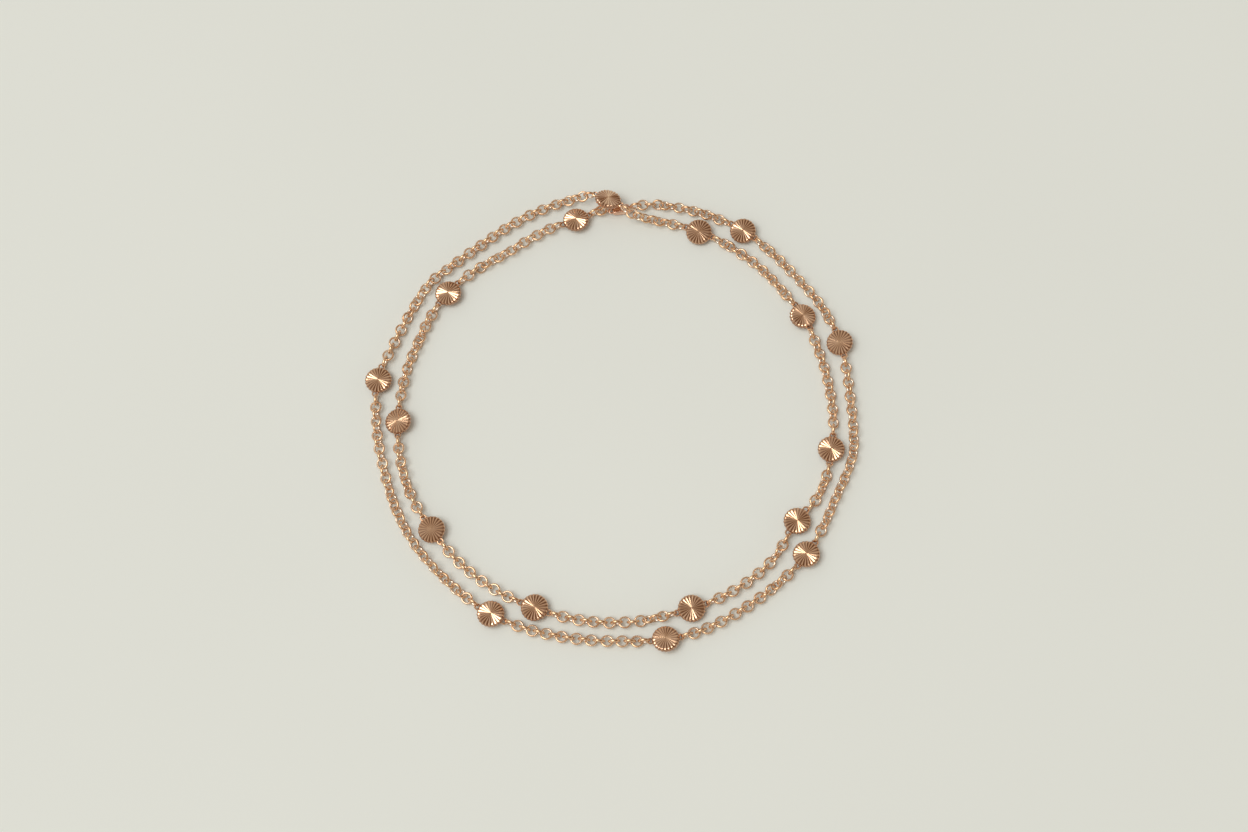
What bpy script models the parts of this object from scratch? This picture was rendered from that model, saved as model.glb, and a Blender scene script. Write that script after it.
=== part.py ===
"""A double-lap chain bracelet with fluted disc stations, lying flat on its side.

One closed chain runs round twice. It starts at a small plain clasp at the back, makes the
inner lap, crosses over the clasp on a tilted disc and makes the outer lap back to the clasp.
Each disc is one soldered solid with a small ring at either end, and each stretch of fine
chain between two discs is a tube of the chain's outer width. Metres, +Z up.
"""
import math
from collections import namedtuple

import bmesh
import bpy
import numpy as np
from mathutils import Matrix, Vector

MM = 0.001

# The laps
LAP_RADIUS = 29.95 * MM
LAP_CLEARANCE = 0.25 * MM
PIECE_GAP = 0.3 * MM

# The chain
CHAIN_WIDTH = 1.6 * MM
CHAIN_SIDES = 8
CHAIN_POINT_SPACING = 3.0

# The fluted discs
DISC_DIAMETER = 3.6 * MM
DISC_THICKNESS = 1.0 * MM
DISC_EDGE = 0.55 * MM
FLUTES = 22
FLUTE_DEPTH = 0.11 * MM
SHOULDER_RADIUS_SHARE = 0.84
SHOULDER_HEIGHT_SHARE = 0.88

# The soldered rings at the ends of the discs and of the clasp
RING_DIAMETER = 0.95 * MM
RING_WIRE = 0.28 * MM
RING_SINK = 0.32 * MM
RING_SEGMENTS = 10
WIRE_SIDES = 5

# The clasp
CLASP_LENGTH = 2.4 * MM
CLASP_WIDTH = 1.3 * MM
CLASP_HEIGHT = 0.9 * MM
CLASP_ROUNDING = 0.2 * MM

# Sizes that follow from the ones above
LAP_PITCH = DISC_DIAMETER / 2 + CHAIN_WIDTH / 2 + LAP_CLEARANCE
CHAIN_HEIGHT = CHAIN_WIDTH / 2
CROSSING_LIFT = CLASP_HEIGHT + PIECE_GAP
RING_RADIUS = (RING_DIAMETER - RING_WIRE) / 2
RING_REACH = RING_DIAMETER - RING_SINK
DISC_REACH = DISC_DIAMETER / 2 + RING_REACH
CLASP_REACH = CLASP_LENGTH / 2 + RING_REACH

# The chain's route, chosen by hand: the turn in degrees from the right of the ring,
# the offset from LAP_RADIUS as a share of LAP_PITCH, the lift as a share of
# CROSSING_LIFT, and for a disc the roll in degrees that raises its inner edge.
Stop = namedtuple("Stop", "kind turn offset lift roll")
FULL_ROUTE_DEG = 720.0
ROUTE = (
    Stop("clasp", 88.2, -0.12, 0.0, 0),
    Stop("bend", 93.5, -0.18, 0.0, 0),
    Stop("bend", 97.0, -0.37, 0.0, 0),
    Stop("disc", 100.6, -0.56, 0.0, 8),
    Stop("bend", 105.5, -0.63, 0.0, 0),
    Stop("bend", 112.0, -0.79, 0.0, 0),
    Stop("bend", 122.0, -0.98, 0.0, 0),
    Stop("bend", 133.0, -0.79, 0.0, 0),
    Stop("disc", 142.9, -0.68, 0.0, 5),
    Stop("bend", 151.0, -0.66, 0.0, 0),
    Stop("bend", 159.0, -0.71, 0.0, 0),
    Stop("bend", 168.0, -0.64, 0.0, 0),
    Stop("disc", 183.0, -0.55, 0.0, 14),
    Stop("bend", 191.0, -0.46, 0.0, 0),
    Stop("bend", 204.0, -0.41, 0.0, 0),
    Stop("disc", 214.9, -0.48, 0.0, 7),
    Stop("bend", 224.0, -0.46, 0.0, 0),
    Stop("bend", 238.0, -0.46, 0.0, 0),
    Stop("disc", 249.4, -0.50, 0.0, 0),
    Stop("bend", 260.0, -0.46, 0.0, 0),
    Stop("bend", 274.0, -0.46, 0.0, 0),
    Stop("bend", 282.0, -0.50, 0.0, 0),
    Stop("disc", 290.3, -0.48, 0.0, 6),
    Stop("bend", 301.0, -0.39, 0.0, 0),
    Stop("bend", 314.0, -0.39, 0.0, 0),
    Stop("bend", 322.0, -0.57, 0.0, 0),
    Stop("disc", 327.3, -0.64, 0.0, 3),
    Stop("bend", 333.0, -0.41, 0.0, 0),
    Stop("bend", 341.0, -0.29, 0.0, 0),
    Stop("disc", 349.3, -0.36, 0.0, -2),
    Stop("bend", 358.0, -0.38, 0.0, 0),
    Stop("bend", 368.0, -0.46, 0.0, 0),
    Stop("bend", 378.0, -0.48, 0.0, 0),
    Stop("disc", 388.2, -0.45, 0.0, 9),
    Stop("bend", 397.0, -0.50, 0.0, 0),
    Stop("bend", 408.0, -0.46, 0.0, 0),
    Stop("bend", 418.0, -0.48, 0.0, 0),
    Stop("disc", 426.1, -0.52, 0.0, -9),
    Stop("bend", 434.0, -0.55, 0.0, 0),
    Stop("bend", 439.0, -0.59, 0.2, 0),
    Stop("bend", 443.5, -0.61, 0.8, 0),
    Stop("bend", 447.0, -0.35, 1.0, 0),
    Stop("disc", 451.6, 0.12, 1.0, 25),
    Stop("bend", 455.5, 0.46, 0.9, 0),
    Stop("bend", 459.0, 0.52, 0.4, 0),
    Stop("bend", 462.5, 0.50, 0.0, 0),
    Stop("bend", 470.0, 0.36, 0.0, 0),
    Stop("bend", 478.0, 0.20, 0.0, 0),
    Stop("bend", 488.0, 0.07, 0.0, 0),
    Stop("bend", 497.0, 0.18, 0.0, 0),
    Stop("bend", 503.0, 0.34, 0.0, 0),
    Stop("bend", 512.0, 0.29, 0.0, 0),
    Stop("bend", 521.0, 0.32, 0.0, 0),
    Stop("disc", 532.1, 0.54, 0.0, 0),
    Stop("bend", 543.0, 0.47, 0.0, 0),
    Stop("bend", 554.0, 0.39, 0.0, 0),
    Stop("bend", 564.0, 0.45, 0.0, 0),
    Stop("bend", 575.0, 0.53, 0.0, 0),
    Stop("bend", 588.0, 0.53, 0.0, 0),
    Stop("disc", 600.5, 0.59, 0.0, -8),
    Stop("bend", 609.0, 0.53, 0.0, 0),
    Stop("bend", 620.0, 0.41, 0.0, 0),
    Stop("bend", 632.0, 0.40, 0.0, 0),
    Stop("disc", 642.1, 0.54, 0.0, -14),
    Stop("bend", 650.0, 0.61, 0.0, 0),
    Stop("bend", 664.0, 0.54, 0.0, 0),
    Stop("disc", 681.5, 0.57, 0.0, -6),
    Stop("bend", 690.0, 0.48, 0.0, 0),
    Stop("bend", 698.0, 0.44, 0.0, 0),
    Stop("bend", 709.5, 0.66, 0.0, 0),
    Stop("bend", 716.0, 0.55, 0.0, 0),
    Stop("bend", 725.0, 0.46, 0.0, 0),
    Stop("disc", 737.9, 0.59, 0.0, -13),
    Stop("bend", 748.0, 0.61, 0.0, 0),
    Stop("bend", 758.0, 0.48, 0.0, 0),
    Stop("disc", 776.2, 0.55, 0.0, -6),
    Stop("bend", 786.0, 0.50, 0.0, 0),
    Stop("bend", 794.0, 0.36, 0.0, 0),
    Stop("bend", 800.5, 0.27, 0.0, 0),
    Stop("bend", 804.5, 0.06, 0.0, 0),
)
ROUTE_STEP_DEG = 0.25


def clear_scene():
    """Remove what the scene holds."""
    for old in list(bpy.data.objects):
        bpy.data.objects.remove(old, do_unlink=True)


def new_collection(name):
    """A collection of its own under the scene's."""
    collection = bpy.data.collections.new(name)
    bpy.context.scene.collection.children.link(collection)
    return collection


def metal(name, colour, roughness):
    """A Principled material of polished rose gold."""
    material = bpy.data.materials.new(name)
    material.use_nodes = True
    shader = material.node_tree.nodes["Principled BSDF"]
    shader.inputs["Base Color"].default_value = (*colour, 1.0)
    shader.inputs["Metallic"].default_value = 1.0
    shader.inputs["Roughness"].default_value = roughness
    return material


def add_object(name, mesh, collection):
    """An object that carries a mesh, in a collection."""
    piece = bpy.data.objects.new(name, mesh)
    collection.objects.link(piece)
    return piece


def move_to(piece, collection):
    """Put the object that an operator added into one collection only."""
    for owner in list(piece.users_collection):
        owner.objects.unlink(piece)
    collection.objects.link(piece)


def stop_height(stop):
    """A stop's height above the surface, so that a rolled disc's edge clears it."""
    height = CHAIN_HEIGHT
    if stop.kind == "disc":
        roll = math.radians(abs(stop.roll))
        edge_drop = DISC_DIAMETER / 2 * math.sin(roll) + DISC_EDGE / 2 * math.cos(roll)
        height = max(height, edge_drop, DISC_THICKNESS / 2)
    return height + stop.lift * CROSSING_LIFT


def smooth_values(turns, values, wanted):
    """Read a closed curve at the wanted turns: each span is a cubic whose slope at a
    stop is that of the line between the stop's two neighbours."""
    start = np.searchsorted(turns, wanted, side="right") - 1
    start = np.clip(start, 1, len(turns) - 3)
    slope = np.empty_like(values)
    slope[1:-1] = (values[2:] - values[:-2]) / (turns[2:] - turns[:-2])
    span = turns[start + 1] - turns[start]
    t = (wanted - turns[start]) / span
    rise = (2 * t**3 - 3 * t**2 + 1) * values[start] + (3 * t**2 - 2 * t**3) * values[start + 1]
    lean = (t**3 - 2 * t**2 + t) * slope[start] + (t**3 - t**2) * slope[start + 1]
    return rise + lean * span


def route_line():
    """The route's closed centre line as an array of points, and the turn at each."""
    before = [stop._replace(turn=stop.turn - FULL_ROUTE_DEG) for stop in ROUTE[-2:]]
    after = [stop._replace(turn=stop.turn + FULL_ROUTE_DEG) for stop in ROUTE[:3]]
    stops = before + list(ROUTE) + after
    turns = np.array([stop.turn for stop in stops])
    radii = np.array([LAP_RADIUS + stop.offset * LAP_PITCH for stop in stops])
    heights = np.array([stop_height(stop) for stop in stops])
    first = ROUTE[0].turn
    wanted = np.linspace(first, first + FULL_ROUTE_DEG, round(FULL_ROUTE_DEG / ROUTE_STEP_DEG) + 1)
    radius = smooth_values(turns, radii, wanted)
    height = np.maximum(smooth_values(turns, heights, wanted), CHAIN_HEIGHT)
    angle = np.radians(wanted)
    line = np.column_stack((radius * np.cos(angle), radius * np.sin(angle), height))
    return line, wanted


class Route:
    """The centre line read by its length from the clasp."""

    def __init__(self):
        self.line, self.turns = route_line()
        steps = np.linalg.norm(np.diff(self.line, axis=0), axis=1)
        self.lengths = np.concatenate(([0.0], np.cumsum(steps)))
        self.total = self.lengths[-1]

    def length_at(self, turn):
        """The length from the clasp to a turn."""
        return float(np.interp(turn, self.turns, self.lengths))

    def point(self, length):
        """The point at a length, counted round and round."""
        along = length % self.total
        return Vector([float(np.interp(along, self.lengths, self.line[:, k])) for k in range(3)])


def station_matrix(route, length, reach, roll_deg):
    """The place of a piece on the route: X along the chain, Z up, rolled about X."""
    along = (route.point(length + reach) - route.point(length - reach)).normalized()
    side = Vector((0, 0, 1)).cross(along).normalized()
    up = along.cross(side)
    turned = Matrix((along, side, up)).transposed().to_4x4()
    return Matrix.Translation(route.point(length)) @ turned @ Matrix.Rotation(math.radians(roll_deg), 4, "X")


def end_ring(distance, collection):
    """A flat soldered ring at a distance along X, as a cutter that is joined on."""
    bpy.ops.mesh.primitive_torus_add(
        location=(distance, 0, 0), major_segments=RING_SEGMENTS, minor_segments=WIRE_SIDES,
        major_radius=RING_RADIUS, minor_radius=RING_WIRE / 2)
    ring = bpy.context.object
    ring.name = "end_ring"
    move_to(ring, collection)
    ring.hide_render = True
    ring.display_type = "WIRE"
    return ring


def join_rings(body, half_length, collection):
    """Solder a ring to each end of a body and return the finished mesh."""
    ring_distance = half_length - RING_SINK + RING_DIAMETER / 2
    rings = [end_ring(side * ring_distance, collection) for side in (-1, 1)]
    for ring in rings:
        union = body.modifiers.new("solder", "BOOLEAN")
        union.operation = "UNION"
        union.object = ring
    bpy.context.view_layer.update()
    evaluated = body.evaluated_get(bpy.context.evaluated_depsgraph_get())
    mesh = bpy.data.meshes.new_from_object(evaluated)
    for finished in (body, *rings):
        bpy.data.objects.remove(finished, do_unlink=True)
    return mesh


def fluted_lens():
    """A lens whose V flutes run from its centre over the rim to the other side."""
    profile = {
        0: (0.0, 1.0),
        1: (SHOULDER_RADIUS_SHARE, SHOULDER_HEIGHT_SHARE),
        2: (1.0, DISC_EDGE / DISC_THICKNESS),
    }
    rings = 5
    columns = 2 * FLUTES
    shape = bmesh.new()
    bmesh.ops.create_uvsphere(shape, u_segments=columns, v_segments=rings, radius=1.0)
    for vert in shape.verts:
        level = round(math.acos(max(-1.0, min(1.0, vert.co.z))) * rings / math.pi)
        column = round(math.atan2(vert.co.y, vert.co.x) * columns / (2 * math.pi))
        radius_share, height_share = profile[min(level, rings - level)]
        cut = FLUTE_DEPTH * radius_share if column % 2 else 0.0
        radius = DISC_DIAMETER / 2 * radius_share - cut / 2
        height = DISC_THICKNESS / 2 * height_share - cut
        angle = column * 2 * math.pi / columns
        above = 1 if level <= rings / 2 else -1
        vert.co = (radius * math.cos(angle), radius * math.sin(angle), above * height)
    mesh = bpy.data.meshes.new("fluted_lens")
    shape.to_mesh(mesh)
    shape.free()
    return mesh


def disc_mesh(cutters):
    """The fluted disc with its two soldered end rings, X along the chain."""
    body = add_object("disc_body", fluted_lens(), cutters)
    return join_rings(body, DISC_DIAMETER / 2, cutters)


def clasp_mesh(cutters):
    """The plain clasp: a rounded bar that lies on the surface, with its two rings."""
    bpy.ops.mesh.primitive_cube_add(size=1.0)
    body = bpy.context.object
    body.data.transform(Matrix.Diagonal((CLASP_LENGTH, CLASP_WIDTH, CLASP_HEIGHT, 1.0)))
    move_to(body, cutters)
    rounding = body.modifiers.new("rounding", "BEVEL")
    rounding.width = min(CLASP_ROUNDING, CLASP_HEIGHT / 3)
    rounding.segments = 2
    return join_rings(body, CLASP_LENGTH / 2, cutters)


def chain_tube(name, route, start, end, collection, material):
    """A stretch of chain as a tube of its outer width, with a flat side underneath."""
    spacing = CHAIN_POINT_SPACING * CHAIN_WIDTH
    count = max(2, round((end - start) / spacing) + 1)
    half_side = math.pi / CHAIN_SIDES
    curve = bpy.data.curves.new(name, "CURVE")
    curve.dimensions = "3D"
    curve.twist_mode = "Z_UP"
    curve.bevel_depth = CHAIN_WIDTH / 2 / math.cos(half_side)
    curve.bevel_resolution = CHAIN_SIDES // 2 - 2
    curve.use_fill_caps = True
    spline = curve.splines.new("POLY")
    spline.points.add(count - 1)
    for index, length in enumerate(np.linspace(start, end, count)):
        spline.points[index].co = (*route.point(length), 1.0)
        spline.points[index].tilt = half_side
    curve.materials.append(material)
    return add_object(name, curve, collection)


def put_on_route(name, mesh, place, collection, material):
    """Place one soldered piece at its station."""
    piece = add_object(name, mesh, collection)
    if not mesh.materials:
        mesh.materials.append(material)
    piece.matrix_world = place
    return piece


def centre_pieces(pieces, collection):
    """Hang the pieces on an empty that brings the middle of their box over the origin."""
    bpy.context.view_layer.update()
    graph = bpy.context.evaluated_depsgraph_get()
    corners = []
    for piece in pieces:
        evaluated = piece.evaluated_get(graph)
        mesh = evaluated.to_mesh()
        corners += [piece.matrix_world @ vert.co for vert in mesh.vertices]
        evaluated.to_mesh_clear()
    spots = np.array(corners)
    middle = (spots.min(axis=0) + spots.max(axis=0)) / 2
    origin = bpy.data.objects.new("bracelet_origin", None)
    collection.objects.link(origin)
    origin.location = (-middle[0], -middle[1], 0.0)
    for piece in pieces:
        piece.parent = origin


def build():
    """Make the clasp, the discs and the stretches of chain, and centre them."""
    clear_scene()
    parts = new_collection("chain_bracelet")
    cutters = new_collection("cutters")
    disc_gold = metal("disc_gold", (0.78, 0.50, 0.34), 0.16)
    chain_gold = metal("chain_gold", (0.80, 0.53, 0.37), 0.22)
    clasp_gold = metal("clasp_gold", (0.79, 0.52, 0.36), 0.25)
    route = Route()
    disc_shape = disc_mesh(cutters)
    clasp_shape = clasp_mesh(cutters)

    clasp_place = station_matrix(route, 0.0, CLASP_REACH, 0.0)
    clasp_place.translation.z = CLASP_HEIGHT / 2
    pieces = [put_on_route("clasp", clasp_shape, clasp_place, parts, clasp_gold)]
    chain_start = CLASP_REACH + PIECE_GAP
    discs = [stop for stop in ROUTE if stop.kind == "disc"]
    for number, stop in enumerate(discs, start=1):
        middle = route.length_at(stop.turn)
        place = station_matrix(route, middle, DISC_REACH, stop.roll)
        pieces.append(put_on_route(f"disc_{number:02d}", disc_shape, place, parts, disc_gold))
        chain_end = middle - DISC_REACH - PIECE_GAP
        pieces.append(chain_tube(f"chain_{number:02d}", route, chain_start, chain_end, parts, chain_gold))
        chain_start = middle + DISC_REACH + PIECE_GAP
    last = f"chain_{len(discs) + 1:02d}"
    chain_end = route.total - CLASP_REACH - PIECE_GAP
    pieces.append(chain_tube(last, route, chain_start, chain_end, parts, chain_gold))
    centre_pieces(pieces, parts)


build()
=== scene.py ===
"""Looks of a double-lap chain bracelet that lies on a pale floor.

Laid out as an add-on and run as a script. Each operator makes one group of like pieces from
surfaces worked out with numpy: the links of the chain, the fluted discs, the plain clasp and
the stage. Metres, +Z up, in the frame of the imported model.
"""
import math
from collections import namedtuple

import bpy
import numpy as np
from bpy.props import FloatProperty, FloatVectorProperty, IntProperty, PointerProperty
from mathutils import Matrix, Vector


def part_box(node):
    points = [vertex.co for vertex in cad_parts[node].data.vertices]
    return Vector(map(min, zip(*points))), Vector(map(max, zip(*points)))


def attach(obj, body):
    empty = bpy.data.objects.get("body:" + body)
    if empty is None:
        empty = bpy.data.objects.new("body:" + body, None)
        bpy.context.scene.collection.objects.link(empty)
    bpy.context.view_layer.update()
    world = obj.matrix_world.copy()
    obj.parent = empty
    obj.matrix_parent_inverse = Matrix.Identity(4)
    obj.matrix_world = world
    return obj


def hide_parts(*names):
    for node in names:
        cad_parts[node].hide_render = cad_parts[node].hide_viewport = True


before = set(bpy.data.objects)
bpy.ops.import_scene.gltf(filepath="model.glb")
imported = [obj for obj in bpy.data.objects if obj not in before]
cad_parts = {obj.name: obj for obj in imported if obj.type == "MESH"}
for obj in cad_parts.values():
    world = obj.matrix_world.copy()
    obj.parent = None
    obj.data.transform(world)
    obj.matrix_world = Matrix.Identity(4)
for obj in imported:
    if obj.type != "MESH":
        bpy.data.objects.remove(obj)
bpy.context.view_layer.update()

bl_info = {
    "name": "Chain Bracelet",
    "version": (1, 0, 0),
    "blender": (4, 5, 0),
    "location": "3D View > Sidebar > Bracelet",
    "description": "Links, fluted discs, clasp and stage of a double-lap chain bracelet",
    "category": "Object",
}

MM = 0.001

# The chain's route as in the solid model: the turn in degrees from the right of the ring,
# the offset from LAP_RADIUS as a share of LAP_PITCH, the lift as a share of CROSSING_LIFT,
# and for a disc the roll in degrees that raises its inner edge.
LAP_RADIUS = 29.95 * MM
LAP_PITCH = 2.85 * MM
CHAIN_HEIGHT = 0.8 * MM
CROSSING_LIFT = 1.2 * MM
ROUTE_STEP_DEG = 0.25
FULL_ROUTE_DEG = 720.0
Stop = namedtuple("Stop", "kind turn offset lift roll")
ROUTE = (
    Stop("clasp", 88.2, -0.12, 0.0, 0),
    Stop("bend", 93.5, -0.18, 0.0, 0),
    Stop("bend", 97.0, -0.37, 0.0, 0),
    Stop("disc", 100.6, -0.56, 0.0, 8),
    Stop("bend", 105.5, -0.63, 0.0, 0),
    Stop("bend", 112.0, -0.79, 0.0, 0),
    Stop("bend", 122.0, -0.98, 0.0, 0),
    Stop("bend", 133.0, -0.79, 0.0, 0),
    Stop("disc", 142.9, -0.68, 0.0, 5),
    Stop("bend", 151.0, -0.66, 0.0, 0),
    Stop("bend", 159.0, -0.71, 0.0, 0),
    Stop("bend", 168.0, -0.64, 0.0, 0),
    Stop("disc", 183.0, -0.55, 0.0, 14),
    Stop("bend", 191.0, -0.46, 0.0, 0),
    Stop("bend", 204.0, -0.41, 0.0, 0),
    Stop("disc", 214.9, -0.48, 0.0, 7),
    Stop("bend", 224.0, -0.46, 0.0, 0),
    Stop("bend", 238.0, -0.46, 0.0, 0),
    Stop("disc", 249.4, -0.50, 0.0, 0),
    Stop("bend", 260.0, -0.46, 0.0, 0),
    Stop("bend", 274.0, -0.46, 0.0, 0),
    Stop("bend", 282.0, -0.50, 0.0, 0),
    Stop("disc", 290.3, -0.48, 0.0, 6),
    Stop("bend", 301.0, -0.39, 0.0, 0),
    Stop("bend", 314.0, -0.39, 0.0, 0),
    Stop("bend", 322.0, -0.57, 0.0, 0),
    Stop("disc", 327.3, -0.64, 0.0, 3),
    Stop("bend", 333.0, -0.41, 0.0, 0),
    Stop("bend", 341.0, -0.29, 0.0, 0),
    Stop("disc", 349.3, -0.36, 0.0, -2),
    Stop("bend", 358.0, -0.38, 0.0, 0),
    Stop("bend", 368.0, -0.46, 0.0, 0),
    Stop("bend", 378.0, -0.48, 0.0, 0),
    Stop("disc", 388.2, -0.45, 0.0, 9),
    Stop("bend", 397.0, -0.50, 0.0, 0),
    Stop("bend", 408.0, -0.46, 0.0, 0),
    Stop("bend", 418.0, -0.48, 0.0, 0),
    Stop("disc", 426.1, -0.52, 0.0, -9),
    Stop("bend", 434.0, -0.55, 0.0, 0),
    Stop("bend", 439.0, -0.59, 0.2, 0),
    Stop("bend", 443.5, -0.61, 0.8, 0),
    Stop("bend", 447.0, -0.35, 1.0, 0),
    Stop("disc", 451.6, 0.12, 1.0, 25),
    Stop("bend", 455.5, 0.46, 0.9, 0),
    Stop("bend", 459.0, 0.52, 0.4, 0),
    Stop("bend", 462.5, 0.50, 0.0, 0),
    Stop("bend", 470.0, 0.36, 0.0, 0),
    Stop("bend", 478.0, 0.20, 0.0, 0),
    Stop("bend", 488.0, 0.07, 0.0, 0),
    Stop("bend", 497.0, 0.18, 0.0, 0),
    Stop("bend", 503.0, 0.34, 0.0, 0),
    Stop("bend", 512.0, 0.29, 0.0, 0),
    Stop("bend", 521.0, 0.32, 0.0, 0),
    Stop("disc", 532.1, 0.54, 0.0, 0),
    Stop("bend", 543.0, 0.47, 0.0, 0),
    Stop("bend", 554.0, 0.39, 0.0, 0),
    Stop("bend", 564.0, 0.45, 0.0, 0),
    Stop("bend", 575.0, 0.53, 0.0, 0),
    Stop("bend", 588.0, 0.53, 0.0, 0),
    Stop("disc", 600.5, 0.59, 0.0, -8),
    Stop("bend", 609.0, 0.53, 0.0, 0),
    Stop("bend", 620.0, 0.41, 0.0, 0),
    Stop("bend", 632.0, 0.40, 0.0, 0),
    Stop("disc", 642.1, 0.54, 0.0, -14),
    Stop("bend", 650.0, 0.61, 0.0, 0),
    Stop("bend", 664.0, 0.54, 0.0, 0),
    Stop("disc", 681.5, 0.57, 0.0, -6),
    Stop("bend", 690.0, 0.48, 0.0, 0),
    Stop("bend", 698.0, 0.44, 0.0, 0),
    Stop("bend", 709.5, 0.66, 0.0, 0),
    Stop("bend", 716.0, 0.55, 0.0, 0),
    Stop("bend", 725.0, 0.46, 0.0, 0),
    Stop("disc", 737.9, 0.59, 0.0, -13),
    Stop("bend", 748.0, 0.61, 0.0, 0),
    Stop("bend", 758.0, 0.48, 0.0, 0),
    Stop("disc", 776.2, 0.55, 0.0, -6),
    Stop("bend", 786.0, 0.50, 0.0, 0),
    Stop("bend", 794.0, 0.36, 0.0, 0),
    Stop("bend", 800.5, 0.27, 0.0, 0),
    Stop("bend", 804.5, 0.06, 0.0, 0),
)

# How far the links lean from lying flat and standing on edge by turns, along the route:
# at 0 flat links and upright ones take turns, at 45 all lean like the strands of a rope.
Lean = namedtuple("Lean", "turn degrees")
LEANS = (
    Lean(88, 0), Lean(156, 8), Lean(161, 45), Lean(176, 45), Lean(190, 18), Lean(200, 45),
    Lean(212, 45), Lean(224, 22), Lean(245, 14), Lean(255, 0), Lean(316, 0), Lean(334, 45),
    Lean(348, 45), Lean(362, 20), Lean(386, 20), Lean(395, 45), Lean(418, 45), Lean(430, 15),
    Lean(460, 0), Lean(524, 0), Lean(534, 18), Lean(556, 22), Lean(562, 45), Lean(594, 45),
    Lean(606, 6), Lean(676, 0), Lean(688, 45), Lean(711, 45), Lean(720, 18), Lean(736, 20),
    Lean(744, 45), Lean(765, 45), Lean(781, 5), Lean(809, 0),
)

# Discs, by their number, whose flutes have only this share of the full depth. It dims them in
# place of another roll, as a disc keeps the roll of its solid. The shares are chosen one by one.
SHALLOW_FLUTES = {9: 0.75, 14: 0.62}

# The fluted lens
LENS_SWELL = 0.15  # power of the sine by which it swells from its poles
LENS_FALL = 0.10  # how much lower the rim lies than the middle, as a share of the height
LENS_TURNOVER = 0.5  # power of the cosine by which a flute's depth fades at the rim
LENS_RIM = 4  # power of the sine that keeps the notches to the rim and the painted shade to the rim wall
LENS_NEAR_POLE = (0.2, 0.4)  # two rings of points close to a pole, as shares of the radius
LENS_PAINTED_SHADE_GROWTH = 2.2  # how fast the painted shade in the flutes grows outwards from the poles

# How the links lie
LEAN_LINKS = 2.5  # how many links from an end the lean takes to set in
QUARTER_TURN_FROM = 0.6  # share of a stretch from which the extra quarter turn goes
STEP_ROUNDING = 0.04  # part of a link that a stretch may be too long by without one more
MOST_PLAY = 0.9  # most play between neighbours, as a share of their distance
PITCH_SPREAD = 0.5  # share of the play by which the distances vary
TILT_SHARE = 0.5  # swing up and down, as a share of the swing to the sides

# The gold: cloudy patches, and specks of uneven polish, to a metre
CLOUD_SCALE = 650.0
POLISH_SCALE = 2600.0

# The stage
KEY_SIZE = (2.50, 2.50)
KEY_SPOT = (-1.72, -0.59, 3.56)
KEY_TINT = (0.985, 1.0, 0.985)
PALE_SIDE = (-0.55, 0.10, 0.83)  # towards the pale side of the room
WALL_FADE = (0.30, 0.60)  # heights between which the walls fade into the room
FLOOR_DROP = 0.01 * MM  # how far the floor lies below the chain
FLOOR_CLOUD = 1.015  # how much paler the floor's cloud is

# The camera as in the photograph, looking at a point that lies a little off the ring's middle
AIM_FROM_MIDDLE = (1.33 * MM, -0.42 * MM)
SENSOR_WIDTH_MM = 36.0


class ChainSizes(bpy.types.PropertyGroup):
    """Sizes and colours of the links."""
    length: FloatProperty(name="Link Length", description="Outer length of a link",
                          default=1.70 * MM, unit="LENGTH", precision=5)
    width: FloatProperty(name="Link Width", description="Outer width of a link",
                         default=1.60 * MM, unit="LENGTH", precision=5)
    wire: FloatProperty(name="Wire", description="Thickness of a link's wire",
                        default=0.28 * MM, unit="LENGTH", precision=5)
    tall: FloatProperty(name="Wire Height", description="Height of a link's oval wire",
                        default=0.38 * MM, unit="LENGTH", precision=5)
    around: IntProperty(name="Sides Around", description="Faces along a link's wire",
                        default=14, min=8)
    sides: IntProperty(name="Wire Sides", description="Faces round a link's wire",
                       default=6, min=4)
    slack: FloatProperty(name="Slack",
                         description="Share by which the links lie closer than when pulled",
                         default=0.12, min=0.0, max=0.2)
    loose_roll: FloatProperty(name="Loose Roll", description="How far a link rolls out of line",
                              default=math.radians(9.0), subtype="ANGLE")
    loose_turn: FloatProperty(name="Loose Turn", description="How far a link swings out of line",
                              default=math.radians(3.5), subtype="ANGLE")
    seed: IntProperty(name="Seed", description="Start of the loose links' random draws", default=7)
    light: FloatVectorProperty(name="Light Gold", description="Colour of the polished wire",
                               default=(0.89, 0.57, 0.33), subtype="COLOR")
    deep: FloatVectorProperty(name="Deep Gold", description="Colour of the duller wire",
                              default=(0.80, 0.46, 0.24), subtype="COLOR")
    # Painted highlight: a link's inner side is painted lighter, standing for the light the wire
    # throws into the link.
    shade: FloatVectorProperty(name="Inner Side",
                               description="Colour of the inner side, a painted highlight",
                               default=(0.97, 0.87, 0.76), subtype="COLOR")


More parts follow.
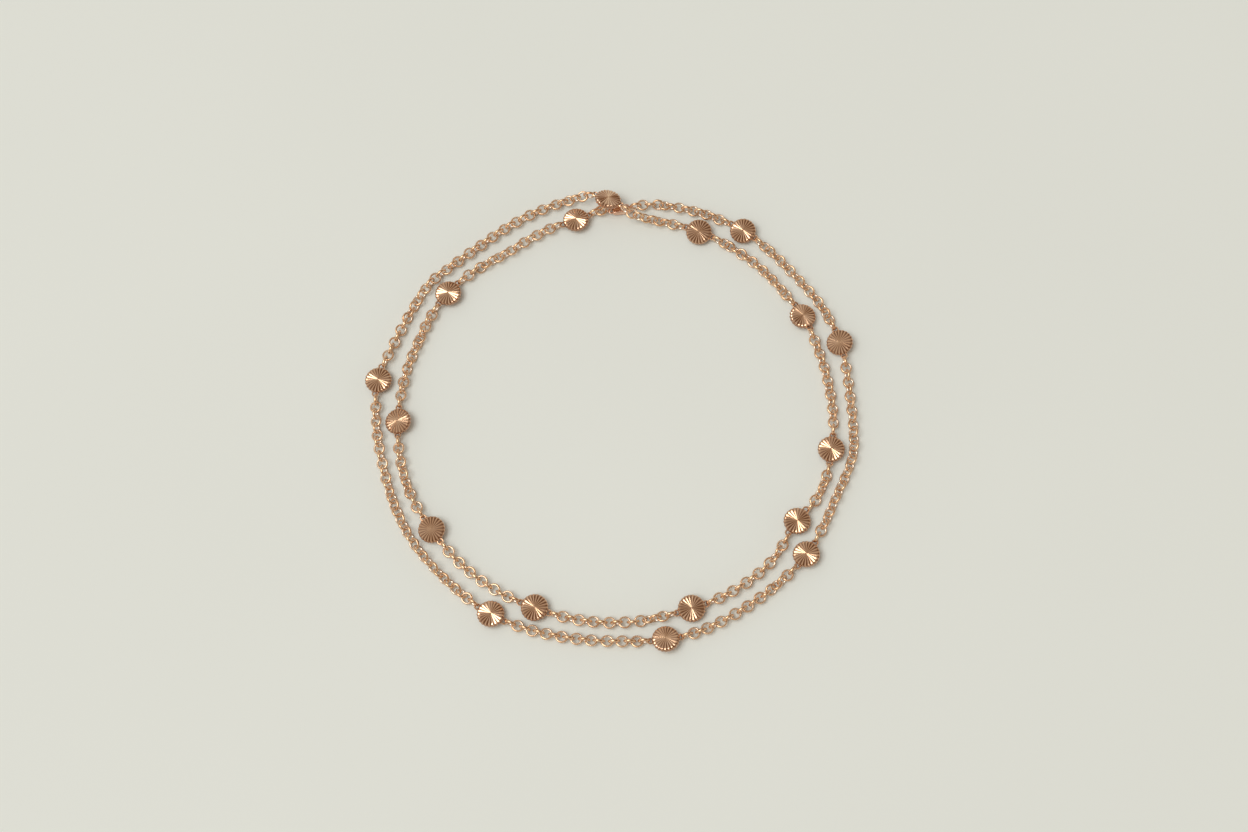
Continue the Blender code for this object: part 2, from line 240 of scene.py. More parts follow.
class DiscSizes(bpy.types.PropertyGroup):
    """Sizes and colours of the fluted discs and of the small rings at their ends."""
    diameter: FloatProperty(name="Diameter", description="Outer diameter of a disc",
                            default=3.60 * MM, unit="LENGTH", precision=5)
    thickness: FloatProperty(name="Thickness", description="Thickness at a disc's middle",
                             default=0.90 * MM, unit="LENGTH", precision=5)
    flutes: IntProperty(name="Flutes", description="V flutes round a disc", default=22, min=3)
    depth: FloatProperty(name="Flute Depth", description="Depth of a flute at the rim",
                         default=0.12 * MM, unit="LENGTH", precision=6)
    notch: FloatProperty(name="Rim Notch", description="How far a flute cuts into the rim",
                         default=0.08 * MM, unit="LENGTH", precision=6)
    ring: FloatProperty(name="Ring Diameter", description="Outer diameter of an end ring",
                        default=0.95 * MM, unit="LENGTH", precision=5)
    ring_wire: FloatProperty(name="Ring Wire", description="Thickness of an end ring's wire",
                             default=0.24 * MM, unit="LENGTH", precision=5)
    ring_sink: FloatProperty(name="Ring Sink", description="How deep an end ring sits in the rim",
                             default=0.32 * MM, unit="LENGTH", precision=5)
    light: FloatVectorProperty(name="Light Gold", description="Colour of the bright-cut flutes",
                               default=(0.90, 0.59, 0.37), subtype="COLOR")
    deep: FloatVectorProperty(name="Deep Gold", description="Colour of the duller patches",
                              default=(0.81, 0.49, 0.28), subtype="COLOR")
    # Painted shade: the discs are painted darker at the bottom of a flute and on the rim wall.
    shade: FloatVectorProperty(name="Painted Shade", description="Colour at the bottom of a flute",
                               default=(0.36, 0.16, 0.08), subtype="COLOR")


class ClaspSizes(bpy.types.PropertyGroup):
    """Sizes and colours of the plain clasp."""
    length: FloatProperty(name="Length", description="Length of the clasp's body",
                          default=2.4 * MM, unit="LENGTH", precision=5)
    width: FloatProperty(name="Width", description="Width of the clasp's body",
                         default=1.3 * MM, unit="LENGTH", precision=5)
    height: FloatProperty(name="Height", description="Height of the clasp's body",
                          default=0.9 * MM, unit="LENGTH", precision=5)
    squareness: FloatProperty(name="Squareness", description="0 for a block and 1 for an egg",
                              default=0.4)
    light: FloatVectorProperty(name="Light Gold", description="Colour of the polished metal",
                               default=(0.91, 0.61, 0.44), subtype="COLOR")
    deep: FloatVectorProperty(name="Deep Gold", description="Colour of the duller patches",
                              default=(0.80, 0.48, 0.33), subtype="COLOR")
    # Painted shade: the clasp is painted darker low down on its sides.
    shade: FloatVectorProperty(name="Painted Shade", description="Colour low down on the sides",
                               default=(0.55, 0.30, 0.19), subtype="COLOR")


class StageSizes(bpy.types.PropertyGroup):
    """The camera, the floor and the light."""
    elevation: FloatProperty(name="Camera Elevation",
                             description="Height of the view above the floor",
                             default=math.radians(69.5), subtype="ANGLE")
    distance: FloatProperty(name="Camera Distance",
                            description="From the camera to the point it looks at",
                            default=0.264, unit="LENGTH")
    lens: FloatProperty(name="Lens", description="Focal length in millimetres", default=57.7)
    floor: FloatVectorProperty(name="Floor", description="Colour of the floor",
                               default=(0.86, 0.89, 0.84), subtype="COLOR")
    floor_size: FloatProperty(name="Floor Size", description="Side of the square floor",
                              default=6.0, unit="LENGTH")
    key: FloatProperty(name="Key Light", description="Brightness of the big soft light at the left",
                       default=3.75)
    sky: FloatVectorProperty(name="Upper Room", description="Colour of the light from above",
                             default=(0.62, 0.61, 0.60), subtype="COLOR")
    horizon: FloatVectorProperty(name="Walls", description="Colour of the light from the walls",
                                 default=(0.62, 0.60, 0.55), subtype="COLOR")
    gloom: FloatVectorProperty(name="Lower Room",
                               description="Colour of the light from the dark side",
                               default=(0.20, 0.13, 0.08), subtype="COLOR")


def unit(vectors):
    """Vectors of length one along the last axis."""
    return vectors / np.linalg.norm(vectors, axis=-1, keepdims=True)


def smooth_values(turns, values, wanted):
    """Read a closed curve at the wanted turns. Each span is the cubic (2t^3 - 3t^2 + 1) a +
    (3t^2 - 2t^3) b plus its slopes' share, whose slope at a stop is that of the line
    between the stop's two neighbours."""
    start = np.clip(np.searchsorted(turns, wanted, side="right") - 1, 1, len(turns) - 3)
    slope = np.empty_like(values)
    slope[1:-1] = (values[2:] - values[:-2]) / (turns[2:] - turns[:-2])
    span = turns[start + 1] - turns[start]
    t = (wanted - turns[start]) / span
    rise = (2 * t**3 - 3 * t**2 + 1) * values[start] + (3 * t**2 - 2 * t**3) * values[start + 1]
    lean = (t**3 - 2 * t**2 + t) * slope[start] + (t**3 - t**2) * slope[start + 1]
    return rise + lean * span


def box_middle(node):
    """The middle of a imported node's box."""
    low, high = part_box(node)
    return np.array((low + high) / 2)


class ChainRoute:
    """The chain's centre line, read by its length from the clasp."""

    def __init__(self):
        before = [stop._replace(turn=stop.turn - FULL_ROUTE_DEG) for stop in ROUTE[-2:]]
        after = [stop._replace(turn=stop.turn + FULL_ROUTE_DEG) for stop in ROUTE[:3]]
        stops = before + list(ROUTE) + after
        turns = np.array([stop.turn for stop in stops])
        radii = np.array([LAP_RADIUS + stop.offset * LAP_PITCH for stop in stops])
        lifts = np.array([stop.lift * CROSSING_LIFT for stop in stops])
        first = ROUTE[0].turn
        stations = round(FULL_ROUTE_DEG / ROUTE_STEP_DEG) + 1
        self.turns = np.linspace(first, first + FULL_ROUTE_DEG, stations)
        radius = smooth_values(turns, radii, self.turns)
        height = CHAIN_HEIGHT + np.maximum(smooth_values(turns, lifts, self.turns), 0.0)
        angle = np.radians(self.turns)
        self.line = np.column_stack((radius * np.cos(angle), radius * np.sin(angle), height))
        steps = np.linalg.norm(np.diff(self.line, axis=0), axis=1)
        self.lengths = np.concatenate(([0.0], np.cumsum(steps)))
        self.total = self.lengths[-1]
        first_disc = next(stop for stop in ROUTE if stop.kind == "disc")
        self.middle = np.zeros(3)
        spot = self.points(np.array([self.length_at(first_disc.turn)]))[0]
        self.middle = box_middle("disc_01") - spot
        self.middle[2] = 0.0

    def length_at(self, turn):
        """The length from the clasp to a turn."""
        return float(np.interp(turn, self.turns, self.lengths))

    def turn_at(self, lengths):
        """The turns at an array of lengths."""
        return np.interp(lengths % self.total, self.lengths, self.turns)

    def points(self, lengths):
        """The points at an array of lengths, counted round and round."""
        along = np.asarray(lengths) % self.total
        spots = [np.interp(along, self.lengths, self.line[:, k]) for k in range(3)]
        return np.stack(spots, axis=-1) + self.middle

    def axes(self, lengths, reach):
        """Three unit vectors at each length: along the chord of two reaches, to the left
        of it in the floor's plane, and the one square to both."""
        along = unit(self.points(lengths + reach) - self.points(lengths - reach))
        side = unit(np.cross((0.0, 0.0, 1.0), along))
        return along, side, np.cross(along, side)


def ring_grid(rows, columns):
    """Faces of a grid that closes on itself both ways, its points in rows of columns."""
    r, c = np.meshgrid(np.arange(rows), np.arange(columns), indexing="ij")
    r2, c2 = (r + 1) % rows, (c + 1) % columns
    corners = (r * columns + c, r2 * columns + c, r2 * columns + c2, r * columns + c2)
    return np.stack(corners, axis=-1).reshape(-1, 4).tolist()


def capped_grid(rows, columns):
    """Faces of a grid that closes round its columns, with a pole before the first row and
    one after the last. The poles' points come after the grid's."""
    r, c = np.meshgrid(np.arange(rows - 1), np.arange(columns), indexing="ij")
    c2 = (c + 1) % columns
    corners = (r * columns + c, (r + 1) * columns + c, (r + 1) * columns + c2, r * columns + c2)
    quads = np.stack(corners, axis=-1).reshape(-1, 4).tolist()
    here = np.arange(columns)
    there = (here + 1) % columns
    first, last = np.full(columns, rows * columns), np.full(columns, rows * columns + 1)
    end = (rows - 1) * columns
    top = np.stack((first, here, there), axis=-1).tolist()
    bottom = np.stack((last, end + there, end + here), axis=-1).tolist()
    return quads + top + bottom


def wire_ring(length, width, wire, tall, around, sides):
    """An oval wire ring in the XY plane: points, faces and how far inside each point lies.

    The wire's middle runs along (a cos u, b sin u), where a and b are half the length and
    half the width less half a wire. The surface adds half a wire times cos v along the
    line's outward normal, (b cos u, a sin u) made one long, and half the wire's height
    times sin v along Z.
    """
    u = np.linspace(0.0, 2 * math.pi, around, endpoint=False)[:, None]
    v = (np.arange(sides)[None, :] + 0.5) * 2 * math.pi / sides
    a, b = (length - wire) / 2, (width - wire) / 2
    outward = unit(np.stack((b * np.cos(u), a * np.sin(u)), axis=-1))
    line = np.stack((a * np.cos(u), b * np.sin(u)), axis=-1)
    flat = line + wire / 2 * np.cos(v)[..., None] * outward
    z = np.broadcast_to(tall / 2 * np.sin(v), (around, sides))
    points = np.concatenate((flat, z[..., None]), axis=-1).reshape(-1, 3)
    # How far inside is the mask of painted light: a link's inner side takes a painted highlight, an
    # end ring's inner side painted shade.
    inner = np.broadcast_to((1 - np.cos(v)) / 2, (around, sides)).reshape(-1)
    return points, ring_grid(around, sides), inner


def fluted_lens(sizes, depth, rows=30, columns_each=8):
    """A fluted lens in the XY plane: points, faces and the painted shade at each point.

    With t from 0 at the upper pole to pi at the lower one, the share of the radius is
    s = sin(t)^0.15 and the height is half the thickness times cos(t) (1 - 0.10 s), a very low
    cone whose rim turns over in a full round. With g from 0 on a ridge to 1 in a flute, the
    flute takes depth s g times the signed root of cos(t) off the height and notch g sin(t)^4
    off the radius. The painted shade is min(1, 2.2 s) g + sin(t)^4, but 1 at most and 0 at the
    poles: shade painted darker towards a flute's bottom and on the rim wall.
    Two more rings of points lie close to each pole, where even steps of t leave a gap.
    """
    columns = sizes.flutes * columns_each
    even = (np.arange(rows) + 1.0) / (rows + 1) * math.pi
    near = np.array(LENS_NEAR_POLE) ** (1 / LENS_SWELL)
    t = np.concatenate((near, even, math.pi - near[::-1]))[:, None]
    angle = (np.arange(columns) * 2 * math.pi / columns)[None, :]
    phase = np.arange(columns)[None, :] / columns_each
    g = 2 * np.abs(phase - np.round(phase))
    share = np.sin(t) ** LENS_SWELL
    rim = np.sin(t) ** LENS_RIM
    upper = np.sign(np.cos(t)) * np.abs(np.cos(t)) ** LENS_TURNOVER
    radius = sizes.diameter / 2 * share - sizes.notch * g * rim
    height = sizes.thickness / 2 * np.cos(t) * (1 - LENS_FALL * share) - depth * share * g * upper
    points = np.stack((radius * np.cos(angle), radius * np.sin(angle), height), axis=-1)
    poles = [[0.0, 0.0, sizes.thickness / 2], [0.0, 0.0, -sizes.thickness / 2]]
    points = np.concatenate((points.reshape(-1, 3), poles))
    # Painted shade: darker towards a flute's bottom and on the rim wall.
    painted_shading = np.clip(np.minimum(1.0, LENS_PAINTED_SHADE_GROWTH * share) * g + rim, 0.0, 1.0)
    painted_shading = np.concatenate((painted_shading.reshape(-1), (0.0, 0.0)))
    return points, capped_grid(len(t), columns), painted_shading


def rounded_block(length, width, height, squareness, rows=22, columns=48):
    """A block with soft edges: points, faces and how low each point lies.

    With p(x) = sign(x) |x|^q, the point is half the sizes times (p(sin t) p(cos u),
    p(sin t) p(sin u), p(cos t)), with t from the upper pole to the lower one.
    """
    t = (np.arange(rows) + 1.0)[:, None] / (rows + 1) * math.pi
    u = (np.arange(columns) * 2 * math.pi / columns)[None, :]

    def power(x):
        return np.sign(x) * np.abs(x) ** squareness

    x = length / 2 * power(np.sin(t)) * power(np.cos(u))
    y = width / 2 * power(np.sin(t)) * power(np.sin(u))
    z = np.broadcast_to(height / 2 * power(np.cos(t)), x.shape)
    points = np.stack((x, y, z), axis=-1).reshape(-1, 3)
    points = np.concatenate((points, [[0.0, 0.0, height / 2], [0.0, 0.0, -height / 2]]))
    # How low is the mask of painted shade: the clasp is painted darker towards the bottom.
    low = np.clip(-points[:, 2] / height * 2, 0.0, 1.0)
    return points, capped_grid(rows, columns), low


def merge(shapes):
    """Several shapes, each of points, faces and painted shading, as one."""
    points, faces, painted_shading = [], [], []
    first = 0
    for some_points, some_faces, some_painted_shading in shapes:
        points.append(some_points)
        faces += [[first + corner for corner in face] for face in some_faces]
        painted_shading.append(some_painted_shading)
        first += len(some_points)
    return np.concatenate(points), faces, np.concatenate(painted_shading)


def with_end_rings(body, half_length, sizes):
    """A body with a small flat ring soldered to each end, along X."""
    shapes = [body]
    distance = half_length - sizes.ring_sink + sizes.ring / 2
    for side in (-1, 1):
        # Each ring's inner side goes into the painted shading, so the body's material paints shade
        # inside the ring.
        points, faces, inner = wire_ring(
            sizes.ring, sizes.ring, sizes.ring_wire, sizes.ring_wire, around=20, sides=8)
        shapes.append((points + (side * distance, 0.0, 0.0), faces, inner))
    return merge(shapes)


def placed(shape, centre, along, side, up, roll=0.0):
    """A shape set at a point, with X, Y and Z along three axes, rolled about the first."""
    points, faces, painted_shading = shape
    y_axis = math.cos(roll) * side + math.sin(roll) * up
    z_axis = math.cos(roll) * up - math.sin(roll) * side
    return centre + points @ np.array((along, y_axis, z_axis)), faces, painted_shading


def add_piece(name, shape, material, node):
    """Make one piece of a shape, let it ride on the bracelet and stand for its node."""
    points, faces, painted_shading = shape
    mesh = bpy.data.meshes.new(name)
    mesh.from_pydata(points.tolist(), [], faces)
    # The painted shading goes to the material as an attribute: painted shade in flutes, on a disc's
    # rim, low on the clasp and inside end rings, and a painted highlight on a link's inner side.
    layer = mesh.attributes.new("painted_shading", "FLOAT", "POINT")
    layer.data.foreach_set("value", painted_shading.astype(np.float32))
    mesh.shade_smooth()
    mesh.materials.append(material)
    mesh.update()
    piece = bpy.data.objects.new(name, mesh)
    bpy.context.scene.collection.objects.link(piece)
    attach(piece, "root")
    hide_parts(node)
    return piece


def ramp_colours(ramp, low, high, low_at, high_at):
    """Set a colour ramp's two ends."""
    ramp.elements[0].position = low_at
    ramp.elements[0].color = (*low, 1.0)
    ramp.elements[1].position = high_at
    ramp.elements[1].color = (*high, 1.0)


def rose_gold(name, sizes, dullest, brightest, dent, dark, shading_from=0.40):
    """Polished rose gold under a clear lacquer: cloudy patches of two golds, with a fine
    uneven polish and small dents. From where the painted shading attribute passes its threshold
    they go over to the share dark of the shade colour: painted shade in a flute, on a disc's rim,
    low on the clasp and inside the end rings, and a painted highlight on a link's inner side."""
    material = bpy.data.materials.new(name)
    material.use_nodes = True
    nodes, links = material.node_tree.nodes, material.node_tree.links
    shader = nodes["Principled BSDF"]
    shader.inputs["Metallic"].default_value = 1.0
    shader.inputs["Coat Weight"].default_value = 1.0
    shader.inputs["Coat Roughness"].default_value = 0.12
    shader.inputs["Coat IOR"].default_value = 1.5
    place = nodes.new("ShaderNodeTexCoord")

    clouds = nodes.new("ShaderNodeTexNoise")
    clouds.inputs["Scale"].default_value = CLOUD_SCALE
    clouds.inputs["Detail"].default_value = 3.0
    links.new(place.outputs["Object"], clouds.inputs["Vector"])
    golds = nodes.new("ShaderNodeValToRGB")
    ramp_colours(golds.color_ramp, sizes.deep, sizes.light, low_at=0.36, high_at=0.62)
    links.new(clouds.outputs["Fac"], golds.inputs["Fac"])

    # Painted light and shade: the attribute mixes the gold towards the shade colour, darker in
    # flutes, on a disc's rim, low on the clasp and inside end rings, lighter on a link's inner
    # side.
    painted_shading = nodes.new("ShaderNodeAttribute")
    painted_shading.attribute_name = "painted_shading"
    reach = nodes.new("ShaderNodeMapRange")
    reach.inputs["From Min"].default_value = shading_from
    reach.inputs["From Max"].default_value = 1.0
    reach.inputs["To Max"].default_value = dark
    links.new(painted_shading.outputs["Fac"], reach.inputs["Value"])
    tint = nodes.new("ShaderNodeMix")
    tint.data_type = "RGBA"
    tint.inputs["B"].default_value = (*sizes.shade, 1.0)
    links.new(reach.outputs["Result"], tint.inputs["Factor"])
    links.new(golds.outputs["Color"], tint.inputs["A"])
    links.new(tint.outputs["Result"], shader.inputs["Base Color"])

    polish = nodes.new("ShaderNodeTexNoise")
    polish.inputs["Scale"].default_value = POLISH_SCALE
    polish.inputs["Detail"].default_value = 4.0
    links.new(place.outputs["Object"], polish.inputs["Vector"])
    finish = nodes.new("ShaderNodeMapRange")
    finish.inputs["From Min"].default_value = 0.3
    finish.inputs["From Max"].default_value = 0.7
    finish.inputs["To Min"].default_value = brightest
    finish.inputs["To Max"].default_value = dullest
    links.new(polish.outputs["Fac"], finish.inputs["Value"])
    links.new(finish.outputs["Result"], shader.inputs["Roughness"])

    bump = nodes.new("ShaderNodeBump")
    bump.inputs["Strength"].default_value = 0.35
    bump.inputs["Distance"].default_value = dent
    links.new(polish.outputs["Fac"], bump.inputs["Height"])
    links.new(bump.outputs["Normal"], shader.inputs["Normal"])
    return material


def hook_length(body_half, disc, chain, drop=0.0):
    """From a body's middle to the middle of the link that hangs in its end ring: out to the
    ring's outer wire, back by both half wires, and on by the half length of the link's wire
    line, which is less where the link is caught below its middle by the drop."""
    ring_wire_middle = body_half - disc.ring_sink + disc.ring - disc.ring_wire / 2
    half_width = (chain.width - chain.wire) / 2
    half_length = (chain.length - chain.wire) / 2 * math.sqrt(1 - (drop / half_width) ** 2)
    return ring_wire_middle - (disc.ring_wire + chain.wire) / 2 + half_length


def link_rolls(route, lengths, settings, draws):
    """The roll of each link about the chain, in radians. They step by a quarter turn, lean
    as LEANS says away from the ends, and take one quarter turn more over the last two fifths
    where an even count of links would leave the last one flat in its ring."""
    count = len(lengths)
    order = np.arange(count)
    table = np.array(LEANS, dtype=float)
    lean = np.interp(route.turn_at(lengths), table[:, 0], table[:, 1])
    from_end = np.minimum(order, count - 1 - order)
    lean = lean * np.clip(from_end / LEAN_LINKS, 0.0, 1.0)
    after = order / (count - 1) - QUARTER_TURN_FROM
    share = np.clip(after / (1 - QUARTER_TURN_FROM), 0.0, 1.0)
    quarter = 90.0 * (share**2 * (3 - 2 * share)) if count % 2 == 0 else 0.0
    rolls = np.radians(90.0 * (order + 1) + lean + quarter)
    return rolls + settings.loose_roll * draws.uniform(-1, 1, count) * np.clip(from_end, 0, 1)


def room_inside(pitches, settings):
    """How far two neighbours may lie out of line at each pitch: the half width of a link's
    oval hole where the far side of its neighbour's end wire crosses it, less half that
    wire's height."""
    far = (pitches - settings.length / 2 + settings.wire) / (settings.length / 2 - settings.wire)
    half_hole = (settings.width / 2 - settings.wire) * np.sqrt(np.clip(1 - far**2, 0.0, 1.0))
    return np.maximum(half_hole - settings.tall / 2, 0.0)


def lying_heights(rolls, lengths, settings):
    """How far each link's middle lies above the floor. A link alone rests at the reach of
    its oval wire, the root of (half a wire times sine)^2 + (half its height times cosine)^2
    of the roll, plus the sine times the rest of its half width, but its neighbours hold it
    up to their own height less the room inside a link."""
    wire, tall, width = settings.wire, settings.tall, settings.width
    reach = np.hypot(wire / 2 * np.sin(rolls), tall / 2 * np.cos(rolls))
    rest = reach + (width - wire) / 2 * np.abs(np.sin(rolls))
    room = room_inside(np.diff(lengths), settings)
    held = rest.copy()
    held[1:] = np.maximum(held[1:], rest[:-1] - room)
    held[:-1] = np.maximum(held[:-1], rest[1:] - room)
    return held


def stretch_of_links(route, start, end, settings, seed):
    """All the links between two lengths of the route as one shape. Each is the same wire ring,
    turned and set down as a whole array, and one that would dip into the floor is raised."""
    taut = settings.length - 2 * settings.wire
    steps = max(1, math.ceil((end - start) / taut / (1 - settings.slack) - STEP_ROUNDING))
    draws = np.random.default_rng(seed)
    play = min(MOST_PLAY, max(0.0, taut * steps / (end - start) - 1))
    pitches = 1 + PITCH_SPREAD * play * draws.uniform(-1, 1, steps)
    lengths = start + (end - start) * np.concatenate(([0.0], np.cumsum(pitches) / pitches.sum()))
    rolls = link_rolls(route, lengths, settings, draws)
    along, side, up = route.axes(lengths, (settings.length - settings.wire) / 2)
    swing = settings.loose_turn * draws.uniform(-1, 1, (2, len(lengths), 1))
    along = unit(along + swing[0] * side + TILT_SHARE * swing[1] * up)
    side = unit(np.cross((0.0, 0.0, 1.0), along))
    up = np.cross(along, side)
    cosine, sine = np.cos(rolls)[:, None], np.sin(rolls)[:, None]
    axes = np.stack((along, cosine * side + sine * up, cosine * up - sine * side), axis=1)

    centres = route.points(lengths)
    lift = centres[:, 2] - CHAIN_HEIGHT
    centres[:, 2] = lift + lying_heights(rolls, lengths, settings)
    points, faces, inner = wire_ring(
        settings.length, settings.width, settings.wire, settings.tall,
        settings.around, settings.sides)
    spots = centres[:, None, :] + np.einsum("pk,nkx->npx", points, axes)
    below = np.minimum(spots[..., 2].min(axis=1), 0.0)
    spots[..., 2] -= below[:, None]
    count, each = spots.shape[:2]
    every = (np.arange(count)[:, None, None] * each + np.array(faces)[None]).reshape(-1, 4)
    return spots.reshape(-1, 3), every.tolist(), np.tile(inner, count)


def disc_stops():
    """The route's stops that are discs."""
    return [stop for stop in ROUTE if stop.kind == "disc"]


class BRACELET_OT_links(bpy.types.Operator):
    """Lay the chain's links between the discs."""
    bl_idname = "bracelet.links"
    bl_label = "Lay Links"

    def execute(self, context):
        scene = context.scene
        chain, disc, clasp = scene.chain_sizes, scene.disc_sizes, scene.clasp_sizes
        route = ChainRoute()
        # The links' inner side takes a painted highlight, dark being its share.
        material = rose_gold(
            "link_gold", chain, dullest=0.28, brightest=0.15, dent=0.010 * MM, dark=0.85)
        disc_hook = hook_length(disc.diameter / 2, disc, chain)
        drop = CHAIN_HEIGHT - clasp.height / 2
        clasp_hook = hook_length(clasp.length / 2, disc, chain, drop)
        middles = [route.length_at(stop.turn) for stop in disc_stops()]
        starts = [clasp_hook] + [middle + disc_hook for middle in middles]
        ends = [middle - disc_hook for middle in middles] + [route.total - clasp_hook]
        for number, (start, end) in enumerate(zip(starts, ends), start=1):
            shape = stretch_of_links(route, start, end, chain, chain.seed + number)
            add_piece(f"links_{number:02d}", shape, material, f"chain_{number:02d}")
        return {"FINISHED"}


class BRACELET_OT_discs(bpy.types.Operator):
    """Make the fluted discs with their end rings."""
    bl_idname = "bracelet.discs"
    bl_label = "Make Discs"

    def execute(self, context):
        disc = context.scene.disc_sizes
        route = ChainRoute()
        # The discs take painted shade in their flutes and on their rims.
        material = rose_gold(
            "disc_gold", disc, dullest=0.20, brightest=0.12, dent=0.004 * MM, dark=0.95, shading_from=0.22)
        reach = disc.diameter / 2 + disc.ring - disc.ring_sink
        for number, stop in enumerate(disc_stops(), start=1):
            node = f"disc_{number:02d}"
            lens = fluted_lens(disc, disc.depth * SHALLOW_FLUTES.get(number, 1.0))
            shape = with_end_rings(lens, disc.diameter / 2, disc)
            axes = route.axes(route.length_at(stop.turn), reach)
            shape = placed(shape, box_middle(node), *axes, roll=math.radians(stop.roll))
            piece = add_piece(f"fluted_{node}", shape, material, node)
            piece.data.set_sharp_from_angle(angle=math.radians(30))
        return {"FINISHED"}


class BRACELET_OT_clasp(bpy.types.Operator):
    """Make the plain clasp with its end rings."""
    bl_idname = "bracelet.clasp"
    bl_label = "Make Clasp"

    def execute(self, context):
        clasp, disc = context.scene.clasp_sizes, context.scene.disc_sizes
        route = ChainRoute()
        # The clasp takes painted shade low on its sides.
        material = rose_gold(
            "clasp_gold", clasp, dullest=0.30, brightest=0.16, dent=0.008 * MM, dark=0.5)
        body = rounded_block(clasp.length, clasp.width, clasp.height, clasp.squareness)
        shape = with_end_rings(body, clasp.length / 2, disc)
        axes = route.axes(0.0, clasp.length / 2 + disc.ring - disc.ring_sink)
        shape = placed(shape, box_middle("clasp"), *axes)
        add_piece("plain_clasp", shape, material, "clasp")
        return {"FINISHED"}


def soft_light(name, brightness, tint, size, spot, aim):
    """A big soft rectangle of light that faces a point. Its power is pi times its area
    times its brightness."""
    data = bpy.data.lights.new(name, "AREA")
    data.shape = "RECTANGLE"
    data.size, data.size_y = size
    data.energy = math.pi * size[0] * size[1] * brightness
    data.color = tint
    light = bpy.data.objects.new(name, data)
    bpy.context.scene.collection.objects.link(light)
    spot = np.array(spot)
    away = unit(spot - np.array(aim))
    across = unit(np.cross((0.0, 1.0, 0.0), away))
    turned = np.array((across, np.cross(away, across), away)).T
    light.matrix_world = Matrix.Translation(spot) @ Matrix(turned.tolist()).to_4x4()
    light.visible_camera = False


def room_light(sky, gloom, horizon):
    """A world whose light goes from the gloom of the lower right to the pale upper left,
    above a band of pale walls all round."""
    world = bpy.data.worlds.new("room")
    world.use_nodes = True
    nodes, links = world.node_tree.nodes, world.node_tree.links
    place = nodes.new("ShaderNodeTexCoord")
    towards = nodes.new("ShaderNodeVectorMath")
    towards.operation = "DOT_PRODUCT"
    towards.inputs[1].default_value = PALE_SIDE
    links.new(place.outputs["Generated"], towards.inputs[0])
    ramp = nodes.new("ShaderNodeValToRGB")
    ramp_colours(ramp.color_ramp, gloom, sky, low_at=0.35, high_at=0.95)
    links.new(towards.outputs["Value"], ramp.inputs["Fac"])
    height = nodes.new("ShaderNodeSeparateXYZ")
    links.new(place.outputs["Generated"], height.inputs["Vector"])
    band = nodes.new("ShaderNodeMapRange")
    band.inputs["From Min"].default_value = WALL_FADE[0]
    band.inputs["From Max"].default_value = WALL_FADE[1]
    band.inputs["To Min"].default_value = 1.0
    band.inputs["To Max"].default_value = 0.0
    links.new(height.outputs["Z"], band.inputs["Value"])
    walls = nodes.new("ShaderNodeMix")
    walls.data_type = "RGBA"
    walls.inputs["B"].default_value = (*horizon, 1.0)
    links.new(band.outputs["Result"], walls.inputs["Factor"])
    links.new(ramp.outputs["Color"], walls.inputs["A"])
    links.new(walls.outputs["Result"], nodes["Background"].inputs["Color"])
    bpy.context.scene.world = world


def floor_material(colour):
    """A pale matt floor with the faintest cloud in it."""
    material = bpy.data.materials.new("pale_floor")
    material.use_nodes = True
    nodes, links = material.node_tree.nodes, material.node_tree.links
    shader = nodes["Principled BSDF"]
    shader.inputs["Roughness"].default_value = 0.55
    shader.inputs["Specular IOR Level"].default_value = 0.25
    place = nodes.new("ShaderNodeTexCoord")
    clouds = nodes.new("ShaderNodeTexNoise")
    clouds.inputs["Scale"].default_value = 14.0
    clouds.inputs["Detail"].default_value = 2.0
    links.new(place.outputs["Object"], clouds.inputs["Vector"])
    ramp = nodes.new("ShaderNodeValToRGB")
    paler = [min(1.0, share * FLOOR_CLOUD) for share in colour]
    ramp_colours(ramp.color_ramp, colour, paler, low_at=0.35, high_at=0.65)
    links.new(clouds.outputs["Fac"], ramp.inputs["Fac"])
    links.new(ramp.outputs["Color"], shader.inputs["Base Color"])
    return material


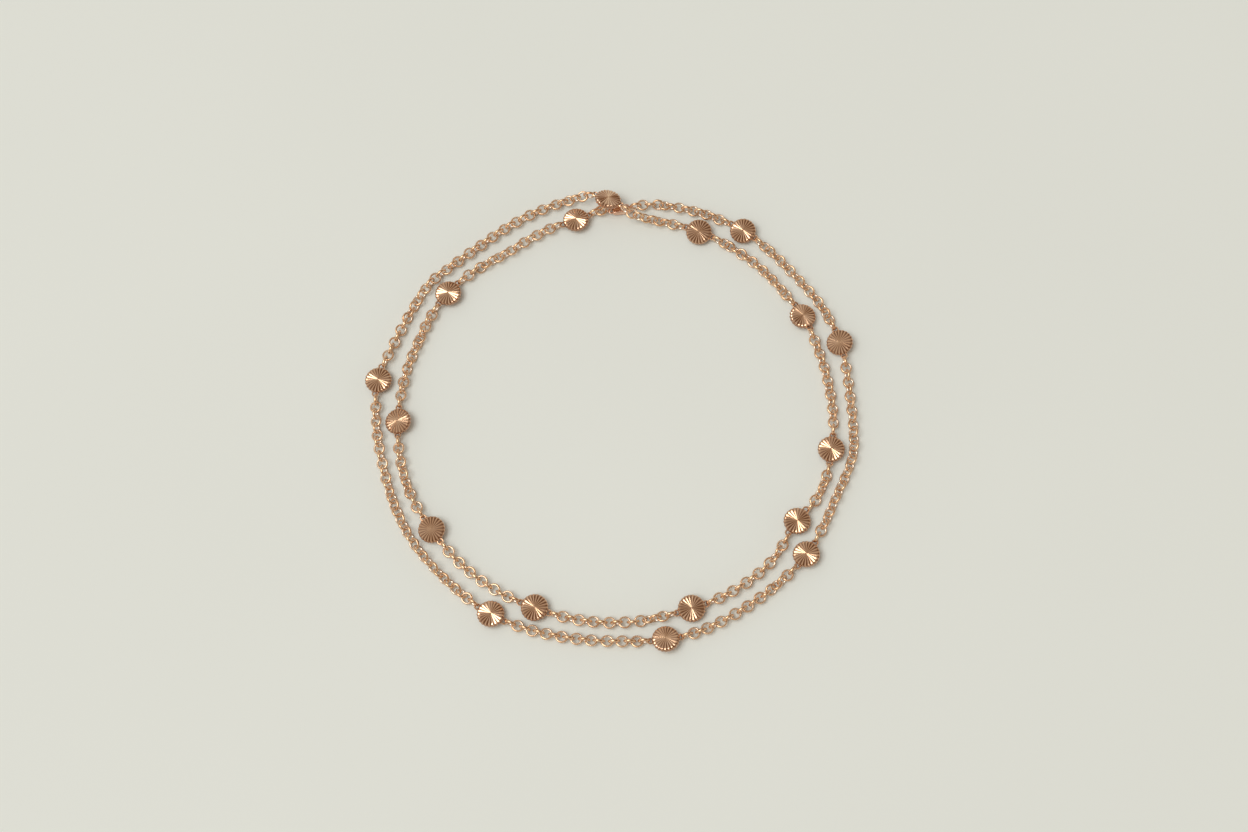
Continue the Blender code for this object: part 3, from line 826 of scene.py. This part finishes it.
class BRACELET_OT_stage(bpy.types.Operator):
    """Lay the pale floor, hang the soft light, paint the room and set up the camera."""
    bl_idname = "bracelet.stage"
    bl_label = "Set Stage"

    def execute(self, context):
        stage = context.scene.stage_sizes
        middle = ChainRoute().middle
        half = stage.floor_size / 2
        mesh = bpy.data.meshes.new("pale_floor")
        z = -FLOOR_DROP
        corners = [(-half, -half, z), (half, -half, z), (half, half, z), (-half, half, z)]
        mesh.from_pydata(corners, [], [(0, 1, 2, 3)])
        mesh.materials.append(floor_material(tuple(stage.floor)))
        floor = bpy.data.objects.new("pale_floor", mesh)
        context.scene.collection.objects.link(floor)

        room_light(tuple(stage.sky), tuple(stage.gloom), tuple(stage.horizon))
        soft_light("key_light", stage.key, KEY_TINT, KEY_SIZE, KEY_SPOT, middle)

        aim = middle + (*AIM_FROM_MIDDLE, 0.0)
        data = bpy.data.cameras.new("camera")
        data.sensor_width = SENSOR_WIDTH_MM
        data.lens = stage.lens
        data.clip_start = 0.005
        camera = bpy.data.objects.new("camera", data)
        context.scene.collection.objects.link(camera)
        back = np.array((0.0, -math.cos(stage.elevation), math.sin(stage.elevation)))
        camera.location = aim + stage.distance * back
        camera.rotation_euler = (math.pi / 2 - stage.elevation, 0.0, 0.0)
        context.scene.camera = camera
        context.scene.view_settings.view_transform = "Standard"
        return {"FINISHED"}


class BRACELET_PT_panel(bpy.types.Panel):
    """The bracelet's sizes and the buttons that make its pieces."""
    bl_idname = "BRACELET_PT_panel"
    bl_label = "Chain Bracelet"
    bl_space_type = "VIEW_3D"
    bl_region_type = "UI"
    bl_category = "Bracelet"

    def draw(self, context):
        for attribute, operator in STEPS:
            box = self.layout.box()
            settings = getattr(context.scene, attribute)
            for field in settings.bl_rna.properties:
                if field.identifier not in ("rna_type", "name"):
                    box.prop(settings, field.identifier)
            box.operator(operator)


STEPS = (
    ("chain_sizes", "bracelet.links"),
    ("disc_sizes", "bracelet.discs"),
    ("clasp_sizes", "bracelet.clasp"),
    ("stage_sizes", "bracelet.stage"),
)
GROUPS = {
    "chain_sizes": ChainSizes,
    "disc_sizes": DiscSizes,
    "clasp_sizes": ClaspSizes,
    "stage_sizes": StageSizes,
}
CLASSES = (
    *GROUPS.values(),
    BRACELET_OT_links,
    BRACELET_OT_discs,
    BRACELET_OT_clasp,
    BRACELET_OT_stage,
    BRACELET_PT_panel,
)


def register():
    """Register the classes and hang the settings on the scene."""
    for some_class in CLASSES:
        bpy.utils.register_class(some_class)
    for attribute, group in GROUPS.items():
        setattr(bpy.types.Scene, attribute, PointerProperty(type=group))


def unregister():
    """Take the settings and the classes away again."""
    for attribute in GROUPS:
        delattr(bpy.types.Scene, attribute)
    for some_class in reversed(CLASSES):
        bpy.utils.unregister_class(some_class)


def main():
    """Make every piece and the stage."""
    register()
    bpy.ops.bracelet.links()
    bpy.ops.bracelet.discs()
    bpy.ops.bracelet.clasp()
    bpy.ops.bracelet.stage()


if __name__ == "__main__":
    main()
